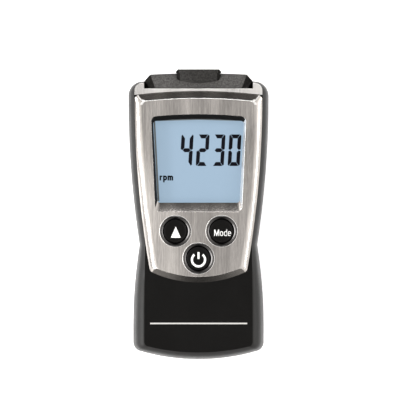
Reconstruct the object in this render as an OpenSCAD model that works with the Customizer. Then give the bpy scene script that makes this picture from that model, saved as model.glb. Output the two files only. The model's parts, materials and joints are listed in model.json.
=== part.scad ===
// Pocket tachometer: a hand-held optical speed meter, lying on its back.
// X runs across the face, Y from the bottom end to the sensor, Z out of the display.

/* [Housing] */
// Width across the shoulders
body_w = 46; // [45.4:0.2:48]
// Width at the thumb waist
waist_w = 38.6; // [38:0.2:40]
// Width across the lower body
base_w = 42.8; // [42.2:0.2:44.4]
// Length of the two shells along the middle
housing_l = 91.8; // [91.4:0.2:94]
// Depth from the rear face to the front deck
housing_d = 22.8; // [22.6:0.1:24]
// Height of the joint line between the shells
part_h = 12; // [11.6:0.1:12.4]
// Wall of the two shells
wall = 1.8; // [1.6:0.1:2]
// Distance of the waist from the bottom end
waist_h = 37.6; // [36:0.2:39]
// Distance of the widest lower point from the bottom end
hip_h = 11.5; // [9:0.5:13]
// Distance of the shoulders from the top of the housing
shoulder_in = 6.3; // [5.8:0.1:7.8]
// Width of the front deck at the shoulders
deck_top_w = 42; // [41.6:0.1:42.4]
// Width of the front deck at the waist
deck_waist_w = 34.8; // [34.6:0.1:35.2]
// Width of the front deck at the bottom
deck_base_w = 35.4; // [34.8:0.1:36.6]

/* [Faceplate] */
// Height of the bright faceplate above the deck
plate_t = 1.5; // [1.2:0.1:1.8]
// Distance of its lower tip from the bottom end
plate_low_h = 25.3; // [24.4:0.1:25.6]
// Distance of its upper tip from the top of the housing
plate_top_in = 4; // [3.6:0.1:4.4]
// Width of its side bevels
plate_side_bevel = 2.5; // [2:0.1:2.9]
// Width of the bevel along its lower edge
plate_low_bevel = 1.9; // [1.5:0.1:2.3]
// Width of the bevel along its upper edge
plate_top_bevel = 2.3; // [1.9:0.1:2.7]

/* [Display] */
// Distance of the visible display from the bottom end
window_low_h = 51.4; // [51.2:0.1:51.8]
// Distance of the visible display from the top of the housing
window_top_in = 13; // [12.6:0.1:14.4]
// Width of the visible display at its top
window_top_w = 29.8; // [28.8:0.1:30.2]
// Width of the visible display at its foot
window_low_w = 26.9; // [26:0.1:27.4]
// Thickness of the clear window
window_t = 1; // [0.8:0.05:1.1]

/* [Keys] */
// Diameter of a key
key_d = 7.6; // [7.2:0.1:7.8]
// Outer diameter of the bright ring round a key
ring_d = 10.2; // [9.8:0.1:10.6]
// Distance between the two upper keys
key_pitch = 15.1; // [14.4:0.1:15.4]
// Distance of the upper keys from the bottom end
key_row_h = 42.1; // [41.7:0.1:42.6]
// Distance of the power key from the bottom end
key_power_h = 33.2; // [32.8:0.1:33.6]
// How far a key goes down
key_travel = 0.5; // [0.3:0.05:0.6]
// How far the rings stand above the faceplate
ring_proud = 0.7; // [0.4:0.05:0.9]

/* [Sensor head] */
// Width of the head where it leaves the housing
head_w = 35.4; // [34.8:0.1:35.8]
// Width of the head at its nose
head_nose_w = 31.6; // [30:0.2:32]
// How far the head stands beyond the housing
head_rise = 2; // [1.6:0.1:2.4]
// How far the optics barrel stands beyond the head
barrel_rise = 1.23; // [0.9:0.01:1.5]
// Width of the optics barrel
barrel_w = 14.2; // [14:0.1:15]
// Depth of the optics barrel
barrel_d = 10.4; // [10:0.1:10.6]
// Diameter of the two lenses
lens_d = 5.6; // [5.4:0.05:5.8]

/* [Battery bay] */
// Diameter of a cell
cell_d = 10.5; // [10.2:0.1:10.6]
// Length of a cell with its nub
cell_l = 44.5; // [44:0.1:44.8]
// Thickness of the battery cover
cover_t = 1.5; // [1.4:0.05:1.6]

/* [Hidden] */
$fn = 64;

// Overrun of every cut past the face it leaves
over = 0.5;
// Gap round a piece that is dropped into a pocket
fit = 0.1;
// Gap round a piece that slides
slide_gap = 0.15;

// Places along the body, all counted from the bottom end
total_l = housing_l + head_rise + barrel_rise;
y_end = -total_l / 2;
y_top = y_end + housing_l;
y_hip = y_end + hip_h;
y_waist = y_end + waist_h;
y_shoulder = y_top - shoulder_in;
y_plate_top = y_top - plate_top_in;
y_window_top = y_top - window_top_in;
y_nose = y_top + head_rise;

// Curves of the housing
base_arc_r = 69.4;
top_arc_r = 260;
base_corner_r = 3;
shoulder_corner_r = 4.5;
deck_corner_r = 1.5;
deck_shoulder_r = 2.6;
smallest_r = 0.6;
base_bevel = 2.4;
top_bevel = 0.4;
// Steps round half an outline: base, corner, lower side, upper side, shoulder, top
base_n = 8;
corner_n = 6;
low_n = 6;
up_n = 10;
top_n = 5;
// Roll of the cheeks, from the deck out to the rim: shares of the way out, and how fast they fall
cheek_shares = [1, 0.965, 0.91, 0.83, 0.72, 0.58, 0.4, 0.2, 0];
inner_cheek_shares = [0, 0.55, 0.85];
cheek_slope_share = 0.21;
cheek_power = 7;
// Roll of the rear edges
rear_round_w = 4.2;
rear_round_h = 5;
rear_n = 6;
inner_rear_n = 2;
inner_round_share = 0.7;
// Lip of the rear shell inside the front shell
lip_t = 0.8;
lip_h = 1;

// Faceplate
plate_margin = 0.15;
plate_low_r = 36;
plate_top_r = 170;
plate_corner_r = 1.8;
plate_lip = 0.3;
plate_arc_n = 8;
plate_side_n = 10;
// Rise of the bevels: share of the height, of the side bevel and of the bevels at the ends
bevel_shares = [[0.19, 0.1, 0.19], [0.44, 0.25, 0.44], [0.7, 0.45, 0.7], [0.91, 0.7, 0.91], [1, 1, 1]];
seam = 0.1;

// Display stack, from the board up
board_t = 1.6;
window_top_r = 150;
window_corner_r = 1;
window_arc_n = 6;
recess_side = 0.7;
recess_top = 1.5;
recess_low = 3;
recess_corner_r = 1.8;
window_border = 1.2;
frame_wall = 0.8;
// Shares of the room between the board and the front shell
frame_floor_share = 0.116;
backlight_share = 0.33;
glass_share = 0.428;
glass_border = 0.6;
glass_side = 0.9;
glass_ledge = 2;
rubber_w = 1.7;
rubber_in = 1.4;

// Keys
key_low = 0.25;
key_edge_r = 0.4;
key_flange_w = 0.8;
key_flange_t = 1;
key_flange_gap = 0.05;
key_stem_d = 3.2;
plunger_d = 3.4;
plunger_out = 0.8;
switch_w = 6;
switch_h = 1.6;
switch_floor = 0.3;
ring_round = 0.55;
round_n = 4;

// Collar and sensor head
collar_t = 0.6;
head_base_in = 3;
head_slope_d = 4.6;
head_end_bevel = 1.7;
head_flat = 0.15;
head_proud = 0.1;
head_nose_r = 300;
head_side_l = 2.5;
head_rear_z = 5;
head_rear_chamfer = 1.2;
head_n = 8;
root_l = 2.2;
root_in = 2.2;
barrel_crown_r = 24;
barrel_corner_r = 1.4;
barrel_flare = 0.34;
barrel_taper = 0.3;
barrel_lip_l = 0.8;
barrel_root_l = 5.2;
barrel_root_in = 0.4;
barrel_n = 6;
lens_pitch = 6.7;
lens_recess = 0.6;
lens_rim = 1;
lens_dome = 0.5;
led_d = 5;
led_rim_d = 5.8;
led_rim_t = 1;
led_body_l = 8.6;
led_gap = 0.4;
lead_w = 0.5;
lead_pitch = 2.54;
lead_l = 3.6;

// Battery bay
bay_gap = 0.5;
bay_wall = 1.2;
bay_roof_t = 1;
bay_low = 4.6;
bay_spare_l = 4.5;
cover_inset = 0.15;
cover_land = 0.9;
cover_tongue_w = 1.1;
cover_tongue_t = 0.8;
cover_head_r = 60;
cover_n = 6;
groove_gap = 0.1;
grip_n = 5;
grip_pitch = 1.6;
grip_w = 0.7;
grip_l = 11;
grip_deep = 0.35;
grip_low = 6.5;
nub_d = 3.8;
nub_h = 0.9;
cell_edge_r = 0.5;
spring_wire_d = 0.5;
spring_d = 6.2;
spring_turns = 3;
spring_sides = 6;
spring_steps = 12;
tab_t = 0.4;
tab_w = 8.6;
tab_h = 8;
pin_w = 2.4;
pin_out = 0.8;

// Screws, bosses and pillars
screw_top_in = 5.8;
screw_top_drop = 7.5;
screw_low_in = 5.2;
screw_low_h = 14.5;
screw_head_d = 3.8;
screw_head_h = 1.4;
screw_sunk = 0.8;
screw_d = 2;
screw_l = 16;
screw_gap = 0.02;
screw_slot_w = 0.6;
screw_slot_h = 0.5;
boss_d = 5;
column_d = 5.6;
pillar_d = 4;
pillar_x = 11;
pillar_drop = 17.8;

// Board
board_gap = 1.2;
board_notch_gap = 0.5;
board_top_gap = 0.3;
chip_w = 9;
chip_t = 1.4;
chip_gap = 2.7;
leg_n = 8;
leg_pitch = 0.8;
leg_w = 0.35;
leg_l = 1;
leg_t = 0.2;

// Heights of the stack
z_cover_top = cover_inset + cover_t;
z_groove_top = z_cover_top + groove_gap;
z_cell = z_groove_top + bay_gap + cell_d / 2;
z_roof = z_cell + cell_d / 2 + bay_gap;
z_board = z_roof + bay_roof_t;
z_board_top = z_board + board_t;
z_ceiling = housing_d - wall;
display_room = z_ceiling - z_board_top;
z_backlight = z_board_top + frame_floor_share * display_room;
z_glass = z_backlight + backlight_share * display_room;
z_glass_top = z_glass + glass_share * display_room;
z_ledge = (z_glass + z_glass_top) / 2;
z_plate = housing_d + plate_t;
z_ring_top = z_plate + ring_proud;
z_head = housing_d + head_proud;
z_lens = z_board_top + lead_w / 2;
z_plunger = z_board_top + switch_h + plunger_out;

// Battery bay and its cover, in plan
bay_l = cell_l + bay_spare_l;
bay_half = cell_d + 1.5 * bay_gap;
y_bay = y_end + bay_low;
y_bay_top = y_bay + bay_l;
cell_x = (cell_d + bay_gap) / 2;
spring_l = bay_spare_l - 2 * tab_t;
cover_half = bay_half + cover_land;
tongue_half = cover_half + cover_tongue_w;
y_cover_top = y_bay_top + cover_land;
box_half = bay_half + bay_wall;
y_head_base = y_top - head_base_in;
y_lens = y_nose + barrel_rise - lens_recess;
y_led = y_lens - lens_rim - led_gap - led_body_l;
y_root = y_head_base - barrel_root_l;

key_places = [[-key_pitch / 2, y_end + key_row_h], [key_pitch / 2, y_end + key_row_h],
    [0, y_end + key_power_h]];
screw_places = [for (side = [-1, 1]) each [
    [side * (body_w / 2 - screw_top_in), y_top - screw_top_drop],
    [side * (base_w / 2 - screw_low_in), y_end + screw_low_h]]];

// Plain geometry
function blend(a, b, t) = a + (b - a) * t;
function arc(c, r, a0, a1, n) =
    [for (i = [0:n]) c + r * [cos(blend(a0, a1, i / n)), sin(blend(a0, a1, i / n))]];
function tail(list) = [for (i = [1:len(list) - 1]) list[i]];
function both_sides(half) = concat(half, [for (i = [len(half) - 2:-1:1]) [-half[i].x, half[i].y]]);
function lift(outline, z) = [for (p = outline) [p.x, p.y, z]];
function side_r(drop, rise) = (drop * drop + rise * rise) / (2 * drop);
function heading(v) = atan2(v.y, v.x);
// Where a line from p along the unit vector d leaves a circle
function leaves(p, d, c, r) = let(b = (p - c) * d) p + d * (sqrt(b * b - (p - c) * (p - c) + r * r) - b);
// Where two circles meet, on the right of the way from the first centre to the second
function meets(c0, r0, c1, r1) = let(
    d = norm(c1 - c0),
    u = (c1 - c0) / d,
    a = (r0 * r0 - r1 * r1 + d * d) / (2 * d))
    c0 + a * u + sqrt(r0 * r0 - a * a) * [u.y, -u.x];

// Half an outline of the housing, from the bottom end to the top end. A shape is
// [base, waist and shoulder half widths, bottom end, top end, base and shoulder corners].
function housing_half(s) = let(
    c0 = [s[0] - s[5], s[3] + base_arc_r - sqrt(pow(base_arc_r - s[5], 2) - pow(s[0] - s[5], 2))],
    c1 = [s[2] - s[6], s[4] - top_arc_r + sqrt(pow(top_arc_r - s[6], 2) - pow(s[2] - s[6], 2))],
    base_c = [0, s[3] + base_arc_r],
    top_c = [0, s[4] - top_arc_r],
    low_r = side_r(s[0] - s[1], y_waist - y_hip),
    up_r = side_r(s[2] - s[1], y_shoulder - y_waist))
    concat(
        arc(base_c, base_arc_r, -90, heading(c0 - base_c), base_n),
        tail(arc(c0, s[5], heading(c0 - base_c), 0, corner_n)),
        arc([s[0] - low_r, y_hip], low_r, 0, asin((y_waist - y_hip) / low_r), low_n),
        tail(arc([s[2] - up_r, y_shoulder], up_r, -asin((y_shoulder - y_waist) / up_r), 0, up_n)),
        arc(c1, s[6], 0, heading(c1 - top_c), corner_n),
        tail(arc(top_c, top_arc_r, heading(c1 - top_c), 90, top_n)));
function inset(s, d) = [s[0] - d, s[1] - d, s[2] - d, s[3] + d, s[4] - d,
    max(smallest_r, s[5] - d), max(smallest_r, s[6] - d)];
function housing_ring(s, z) = lift(both_sides(housing_half(s)), z);

rim = [base_w / 2, waist_w / 2, body_w / 2, y_end, y_top, base_corner_r, shoulder_corner_r];
deck = [deck_base_w / 2, deck_waist_w / 2, deck_top_w / 2, y_end + base_bevel, y_top - top_bevel,
    deck_corner_r, deck_shoulder_r];

// Half an outline of the faceplate, drawn in by a side, a lower and an upper bevel
plate_side_r = side_r(deck[2] - deck[1], y_shoulder - y_waist);
function plate_half(side, low, top) = let(
    r = plate_corner_r,
    low_r = plate_low_r - low,
    low_c = [0, y_end + plate_low_h + plate_low_r],
    flank_r = plate_side_r - plate_margin - side,
    flank_c = [deck[2] - plate_side_r, y_shoulder],
    top_r = plate_top_r - top,
    top_c = [0, y_plate_top - plate_top_r],
    c0 = meets(flank_c, flank_r - r, low_c, low_r - r),
    c1 = meets(top_c, top_r - r, flank_c, flank_r - r))
    concat(
        arc(low_c, low_r, -90, heading(c0 - low_c), plate_arc_n),
        tail(arc(c0, r, heading(c0 - low_c), heading(c0 - flank_c), corner_n)),
        tail(arc(flank_c, flank_r, heading(c0 - flank_c), heading(c1 - flank_c), plate_side_n)),
        tail(arc(c1, r, heading(c1 - flank_c), heading(c1 - top_c), corner_n)),
        tail(arc(top_c, top_r, heading(c1 - top_c), 90, plate_arc_n)));
function plate_ring(side, end, z) = lift(both_sides(plate_half(
    plate_side_bevel * side, plate_low_bevel * end, plate_top_bevel * end)), z);

// Half an outline of the display, let out at the sides, the foot and the top
function window_half(side, low, top, r = window_corner_r) = let(
    foot = [window_low_w / 2 + side, y_end + window_low_h - low],
    y_high = y_window_top + top,
    d = unit([window_top_w / 2 + side, y_high] - foot),
    out = [d.y, -d.x],
    top_c = [0, y_high - window_top_r],
    c0 = [foot.x - r * (1 + out.y) / out.x, foot.y + r],
    c1 = leaves(c0, d, top_c, window_top_r - r))
    concat(
        [[0, foot.y]],
        arc(c0, r, -90, heading(out), corner_n),
        arc(c1, r, heading(out), heading(c1 - top_c), corner_n),
        tail(arc(top_c, window_top_r, heading(c1 - top_c), 90, window_arc_n)));
function unit(v) = v / norm(v);
function window_outline(side, low, top) = both_sides(window_half(side, low, top));

// Skin over a stack of rings that all have the same number of points
module skin(rings) {
    n = len(rings[0]);
    last = len(rings) - 1;
    walls = [for (k = [0:last - 1], i = [0:n - 1]) let(
        a = k * n + i, b = a + n, c = k * n + (i + 1) % n, d = c + n) each [[a, b, d], [a, d, c]]];
    low_cap = [for (i = [0:n - 1]) i];
    high_cap = [for (i = [n - 1:-1:0]) last * n + i];
    polyhedron(points = [for (ring = rings) each ring], faces = concat(walls, [low_cap, high_cap]));
}

module prism(outline, z0, z1) {
    translate([0, 0, z0]) linear_extrude(z1 - z0) polygon(outline);
}

// Block given by its half width, its two ends and its two heights
module slab(half, y0, y1, z0, z1) {
    translate([-half, y0, z0]) cube([2 * half, y1 - y0, z1 - z0]);
}

module upright(place, d, z0, z1) {
    translate([place.x, place.y, z0]) cylinder(d = d, h = z1 - z0);
}

// Lying cylinder along Y
module lying(x, z, d, y0, y1) {
    translate([x, y0, z]) rotate([-90, 0, 0]) cylinder(d = d, h = y1 - y0);
}

module head_notch(z0) {
    slab(head_w / 2 + fit, y_head_base - fit, y_top + over, z0, housing_d + collar_t + over);
}

// Ring of the cheeks at a share of the way out from the deck, under a top face at z_high
function cheek_ring(out, depth, z_high) = let(
    fall = cheek_slope_share * out + (1 - cheek_slope_share) * pow(out, cheek_power))
    housing_ring(inset(blend(deck, rim, out), depth), blend(z_high, part_h, fall));

module front_shell() {
    lip_in = wall - lip_t - fit;
    lip_z = part_h + lip_h + fit;
    color("#222326")
    difference() {
        union() {
            skin(concat(
                [for (out = inner_cheek_shares) cheek_ring(out, wall, z_ceiling)],
                [housing_ring(inset(rim, wall), lip_z), housing_ring(inset(rim, lip_in), lip_z),
                    housing_ring(inset(rim, lip_in), part_h)],
                [for (out = cheek_shares) cheek_ring(out, 0, housing_d)]));
            for (place = screw_places) upright(place, column_d, part_h, z_ceiling + wall / 2);
        }
        prism(window_outline(0, 0, 0), z_ceiling - over, housing_d + over);
        prism(window_outline(window_border + fit, window_border + fit, window_border + fit),
            housing_d - window_t, housing_d + over);
        for (place = key_places) upright(place, key_d + 2 * slide_gap, z_ceiling - over, housing_d + over);
        for (place = screw_places) upright(place, screw_d + 2 * screw_gap, part_h - over, z_ceiling);
        head_notch(part_h - over);
    }
}

// Shape of the rear edge at an angle from the flat back, 0 to 90 degrees
function rear_ring(s, w, h, z, a) = housing_ring(inset(s, w * (1 - sin(a))), z + h * (1 - cos(a)));

// Opening that the cover slides in, seen from behind
function cover_outline(half, low, high) = let(
    c = [0, high - cover_head_r], a = acos(half / cover_head_r))
    concat([[half, low]], arc(c, cover_head_r, a, 180 - a, 2 * cover_n), [[-half, low]]);

module rear_shell() {
    inner = inset(rim, wall);
    lip = inset(rim, wall - lip_t);
    round_w = rear_round_w * inner_round_share;
    round_h = rear_round_h * inner_round_share;
    seat_z = screw_sunk + screw_head_h;
    high = y_cover_top + slide_gap;
    color("#1c1d20")
    difference() {
        union() {
            skin(concat(
                [for (i = [0:rear_n]) rear_ring(rim, rear_round_w, rear_round_h, 0, 90 * i / rear_n)],
                [housing_ring(rim, part_h), housing_ring(lip, part_h),
                    housing_ring(lip, part_h + lip_h), housing_ring(inner, part_h + lip_h)],
                [for (i = [inner_rear_n:-1:0])
                    rear_ring(inner, round_w, round_h, wall, 90 * i / inner_rear_n)]));
            slab(tongue_half + bay_wall, y_end + bay_low - bay_wall, y_cover_top + bay_wall,
                wall / 2, z_groove_top + bay_wall);
            slab(box_half, y_bay - bay_wall, y_bay_top + bay_wall, wall / 2, z_board);
            for (place = screw_places) upright(place, boss_d, wall / 2, part_h);
            for (side = [-1, 1]) upright([side * pillar_x, y_top - pillar_drop], pillar_d, wall / 2, z_board);
        }
        prism(cover_outline(cover_half + slide_gap, y_end - over, high), -over, z_groove_top);
        prism(cover_outline(tongue_half + slide_gap, y_end - over, high),
            z_cover_top - cover_tongue_t - groove_gap, z_groove_top);
        slab(bay_half, y_bay, y_bay_top, z_cover_top, z_roof);
        for (side = [-1, 1])
            translate([side * cell_x - pin_w / 2 - fit, y_bay, z_roof - over])
                cube([pin_w + 2 * fit, tab_t + fit, bay_roof_t + 2 * over]);
        for (place = screw_places) {
            upright(place, screw_head_d + 2 * slide_gap, -over, seat_z);
            upright(place, screw_d + 2 * slide_gap, 0, part_h + over);
        }
        head_notch(head_rear_z - fit);
    }
}

// All that lies below the seam at the top of the faceplate
below_r = plate_top_r + seam;
below_a = asin((deck_top_w / 2 + over) / below_r);
below_outline = concat(
    arc([0, y_plate_top - plate_top_r], below_r, 90 - below_a, 90 + below_a, 2 * plate_arc_n),
    [[-deck_top_w / 2 - over, y_end], [deck_top_w / 2 + over, y_end]]);
module top_collar() {
    color("#b4b2ac")
    difference() {
        prism(both_sides(housing_half(inset(deck, plate_margin))), housing_d, housing_d + collar_t);
        prism(below_outline, housing_d - over, housing_d + collar_t + over);
        head_notch(housing_d - over);
    }
}

recess_outline = both_sides(window_half(recess_side, recess_low, recess_top, recess_corner_r));
module faceplate() {
    color("#a8a6a1")
    difference() {
        skin(concat(
            [plate_ring(0, 0, housing_d), plate_ring(0, 0, housing_d + plate_lip)],
            [for (s = bevel_shares)
                plate_ring(s[1], s[2], blend(housing_d + plate_lip, z_plate, s[0]))]));
        skin([
            lift(window_outline(0, 0, 0), housing_d - over),
            lift(window_outline(0, 0, 0), housing_d),
            lift(recess_outline, z_plate),
            lift(recess_outline, z_plate + over)]);
        for (place = key_places) upright(place, ring_d + 2 * fit, housing_d - over, z_plate + over);
    }
}

module display_window() {
    color("#cfe0ee", 0.35)
    prism(window_outline(window_border, window_border, window_border), housing_d - window_t, housing_d);
}

module lcd_glass() {
    color("#a3bdd8")
    union() {
        prism(window_outline(glass_side, glass_border, glass_border), z_glass, z_ledge);
        prism(window_outline(glass_side, glass_border + glass_ledge, glass_border), z_ledge, z_glass_top);
    }
}

// The contact rubber stands under the ledge of the display glass
y_rubber = y_end + window_low_h - glass_border - glass_ledge;
rubber_half = window_low_w / 2 - rubber_in;
module lcd_frame() {
    around = glass_side + fit;
    color("#e8e8e4")
    difference() {
        prism(window_outline(around + frame_wall, glass_border + glass_ledge + fit + frame_wall,
            glass_border + fit + frame_wall), z_board_top, z_ceiling - fit);
        prism(window_outline(around, glass_border + glass_ledge + fit, glass_border + fit),
            z_backlight, z_glass_top);
        prism(window_outline(fit, fit, fit), z_glass_top - over, z_ceiling + over);
        slab(rubber_half + fit, y_rubber, y_rubber + rubber_w + 2 * fit, z_board_top - over, z_glass);
    }
}

module backlight_panel() {
    color("#f4f6f2")
    prism(window_outline(glass_side, glass_border - fit, glass_border), z_backlight, z_glass);
}

module contact_rubber() {
    color("#5a6068")
    slab(rubber_half, y_rubber + fit, y_rubber + fit + rubber_w, z_board_top, z_ledge);
}

module main_board() {
    color("#1f6b3c")
    difference() {
        prism(both_sides(housing_half(inset(rim, wall + board_gap))), z_board, z_board_top);
        slab(body_w, y_root - board_top_gap, y_top, z_board - over, z_board_top + over);
        for (place = screw_places)
            upright(place, column_d + 2 * board_notch_gap, z_board - over, z_board_top + over);
        for (side = [-1, 1])
            translate([side * cell_x - pin_w / 2 - fit, y_bay - fit, z_board - over])
                cube([pin_w + 2 * fit, tab_t + 2 * fit, board_t + 2 * over]);
    }
}

module controller_chip() {
    y_chip = y_bay_top + bay_wall + chip_gap + leg_l + chip_w / 2;
    color("#303134")
    union() {
        slab(chip_w / 2, y_chip - chip_w / 2, y_chip + chip_w / 2, z_board - chip_t, z_board - leg_t / 2);
        for (turn = [0:3], i = [0:leg_n - 1])
            translate([0, y_chip, z_board - leg_t]) rotate(90 * turn)
                translate([chip_w / 2 - leg_l / 2, (i - (leg_n - 1) / 2) * leg_pitch - leg_w / 2, 0])
                    cube([leg_l * 1.5, leg_w, leg_t]);
    }
}

// A key is one turned piece: stem, flange behind the deck, and the disc with its rounded edge
module key(place) {
    r = key_d / 2;
    z_top = z_ring_top - key_low;
    z_flange = z_ceiling - key_flange_gap;
    profile = concat(
        [[0, z_plunger], [key_stem_d / 2, z_plunger], [key_stem_d / 2, z_flange - key_flange_t],
            [r + key_flange_w, z_flange - key_flange_t], [r + key_flange_w, z_flange], [r, z_flange]],
        arc([r - key_edge_r, z_top - key_edge_r], key_edge_r, 0, 90, round_n),
        [[0, z_top]]);
    color("#17181a") translate([place.x, place.y, 0]) rotate_extrude() polygon(profile);
}

module key_up() { key(key_places[0]); }
module key_mode() { key(key_places[1]); }
module key_power() { key(key_places[2]); }

// The bright ring stands on the deck in its hole of the faceplate
module key_ring(place) {
    r_in = key_d / 2 + slide_gap;
    r_out = ring_d / 2;
    profile = concat(
        [[r_in, housing_d], [r_out, housing_d]],
        arc([r_out - ring_round, z_ring_top - ring_round], ring_round, 0, 90, round_n),
        arc([r_in + ring_round / 2, z_ring_top - ring_round / 2], ring_round / 2, 90, 180, round_n));
    color("#8a8c90") translate([place.x, place.y, 0]) rotate_extrude() polygon(profile);
}

module key_ring_up() { key_ring(key_places[0]); }
module key_ring_mode() { key_ring(key_places[1]); }
module key_ring_power() { key_ring(key_places[2]); }

module switch_housing(place) {
    color("#2b2b2e")
    difference() {
        translate([place.x - switch_w / 2, place.y - switch_w / 2, z_board_top])
            cube([switch_w, switch_w, switch_h]);
        upright(place, plunger_d + 2 * slide_gap, z_board_top + switch_floor, z_board_top + switch_h + over);
    }
}

module switch_up() { switch_housing(key_places[0]); }
module switch_mode() { switch_housing(key_places[1]); }
module switch_power() { switch_housing(key_places[2]); }

module plunger(place) {
    color("#d8d4c8")
    upright(place, plunger_d, z_board_top + switch_floor + key_travel + fit, z_plunger);
}

module plunger_up() { plunger(key_places[0]); }
module plunger_mode() { plunger(key_places[1]); }
module plunger_power() { plunger(key_places[2]); }

// Half a plan of the head: its sides, its nose corner and its shallow nose arc
function head_half(side, drop) = let(
    y0 = y_head_base, nose_half = head_nose_w / 2 - side, y_tip = y_nose - drop,
    c = [0, y_tip - head_nose_r])
    concat(
        [[0, y0], [head_w / 2 - side, y0],
            [head_w / 2 - side, y0 + head_side_l * (1 - drop / (y_nose - y0))]],
        arc(c, head_nose_r, acos(nose_half / head_nose_r), 90, head_n));
function head_ring(side, drop, z) = lift(both_sides(head_half(side, drop)), z);

// Front view of the barrel: a crowned block with rounded corners
function barrel_front(half, low, high) = let(
    r = barrel_corner_r,
    crown_c = [0, high - barrel_crown_r],
    c1 = [half - r, crown_c.y + sqrt(pow(barrel_crown_r - r, 2) - pow(half - r, 2))])
    both_sides(concat(
        [[0, low]],
        arc([half - r, low + r], r, -90, 0, corner_n),
        arc(c1, r, 0, heading(c1 - crown_c), corner_n),
        tail(arc(crown_c, barrel_crown_r, heading(c1 - crown_c), 90, barrel_n))));

// Barrel block of one width along Y
module barrel_block(half, low, high, y0, y1) {
    translate([0, y1, 0]) rotate([90, 0, 0]) linear_extrude(y1 - y0) polygon(barrel_front(half, low, high));
}

z_barrel = z_lens - barrel_d / 2;
module sensor_head() {
    full = y_nose - y_head_base - head_flat;
    color("#2a2b2e")
    difference() {
        union() {
            skin([head_ring(0, head_rear_chamfer, head_rear_z),
                head_ring(0, 0, head_rear_z + head_rear_chamfer),
                head_ring(0, 0, z_head - head_slope_d), head_ring(head_end_bevel, full, z_head)]);
            slab(head_w / 2 - root_in, y_head_base - root_l, y_head_base + over,
                head_rear_z + head_rear_chamfer, z_ceiling - fit);
        }
        barrel_block(barrel_w / 2 + fit, z_barrel - fit, z_barrel + barrel_d + fit,
            y_head_base - root_l - over, y_nose + over);
    }
}

module optics_barrel() {
    y_tip = y_nose + barrel_rise;
    flared = barrel_w / 2 + barrel_flare;
    root_half = barrel_w / 2 - barrel_root_in;
    color("#141416")
    difference() {
        union() {
            barrel_block(barrel_w / 2, z_barrel, z_barrel + barrel_d, y_head_base, y_nose + fit);
            intersection() {
                barrel_block(flared, z_barrel - barrel_flare, z_barrel + barrel_d, y_nose + fit, y_tip);
                prism(both_sides([[0, y_nose], [flared, y_nose], [flared, y_tip - barrel_lip_l],
                    [barrel_w / 2 - barrel_taper, y_tip], [0, y_tip]]), z_barrel - over - barrel_flare,
                    z_barrel + barrel_d + over);
            }
            barrel_block(root_half, z_barrel + barrel_root_in, z_barrel + barrel_d - barrel_root_in,
                y_root, y_head_base + over);
        }
        for (side = [-1, 1]) {
            x = side * lens_pitch / 2;
            lying(x, z_lens, lens_d + 2 * fit, y_lens - lens_rim, y_tip + over);
            lying(x, z_lens, led_d + 2 * fit, y_led + led_rim_t, y_tip);
            lying(x, z_lens, led_rim_d + 2 * fit, y_root - over, y_led + led_rim_t + fit);
        }
    }
}

// Lens with a rim and a low dome, looking along Y
module lens(side) {
    r = lens_d / 2;
    dome_r = side_r(lens_dome, r);
    a = asin(r / dome_r);
    color("#dfe8f2", 0.4)
    translate([side * lens_pitch / 2, y_lens - lens_rim, z_lens]) rotate([-90, 0, 0]) rotate_extrude()
        polygon(concat([[0, 0], [r, 0]], arc([0, lens_rim - dome_r], dome_r, 90 - a, 90, round_n)));
}

module emitter_lens() { lens(-1); }
module receiver_lens() { lens(1); }

// Round-nosed package with a rim and two leads that lie on the board
module diode(side) {
    r = led_d / 2;
    translate([side * lens_pitch / 2, y_led, z_lens]) union() {
        rotate([-90, 0, 0]) rotate_extrude()
            polygon(concat([[0, 0], [led_rim_d / 2, 0], [led_rim_d / 2, led_rim_t], [r, led_rim_t]],
                arc([0, led_body_l - r], r, 0, 90, 2 * round_n)));
        for (lead = [-1, 1])
            translate([lead * lead_pitch / 2 - lead_w / 2, -lead_l, -lead_w / 2])
                cube([lead_w, lead_l + led_rim_t / 2, lead_w]);
    }
}

module emitter_led() { color("#e8efe4") diode(-1); }
module receiver_diode() { color("#2c3038") diode(1); }

// Ring of the cover at one height. Its end follows the rolled edge of the rear shell.
function cover_ring(half, z) = let(
    end = y_end + rear_round_w * (1 - sin(acos(1 - z / rear_round_h))),
    c = [0, end + base_arc_r],
    head_c = [0, y_cover_top - cover_head_r])
    lift(both_sides(concat(
        arc(c, base_arc_r, -90, -acos(half / base_arc_r), cover_n),
        arc(head_c, cover_head_r, acos(half / cover_head_r), 90, cover_n))), z);

module battery_cover() {
    z_tongue = z_cover_top - cover_tongue_t;
    color("#1c1d20")
    difference() {
        skin([cover_ring(cover_half, cover_inset), cover_ring(cover_half, z_tongue),
            cover_ring(tongue_half, z_tongue), cover_ring(tongue_half, z_cover_top)]);
        for (i = [0:grip_n - 1])
            translate([-grip_l / 2, y_end + grip_low + i * grip_pitch, cover_inset - over])
                cube([grip_l, grip_w, grip_deep + over]);
    }
}

// A cell lies along Y; its nub looks up the body where way is 1, and down where it is -1
module cell(side, way) {
    body_l = cell_l - nub_h;
    y_mid = y_bay + bay_l / 2 + way * (spring_l / 2);
    r = cell_d / 2;
    color("#7c8a94")
    translate([side * cell_x, y_mid, z_cell]) rotate([-90 * way, 0, 0]) translate([0, 0, -cell_l / 2])
        rotate_extrude() polygon(concat(
            [[0, 0]],
            arc([r - cell_edge_r, cell_edge_r], cell_edge_r, -90, 0, round_n),
            arc([r - cell_edge_r, body_l - cell_edge_r], cell_edge_r, 0, 90, round_n),
            [[nub_d / 2, body_l], [nub_d / 2, cell_l], [0, cell_l]]));
}

module battery_left() { cell(-1, 1); }
module battery_right() { cell(1, -1); }

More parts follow.
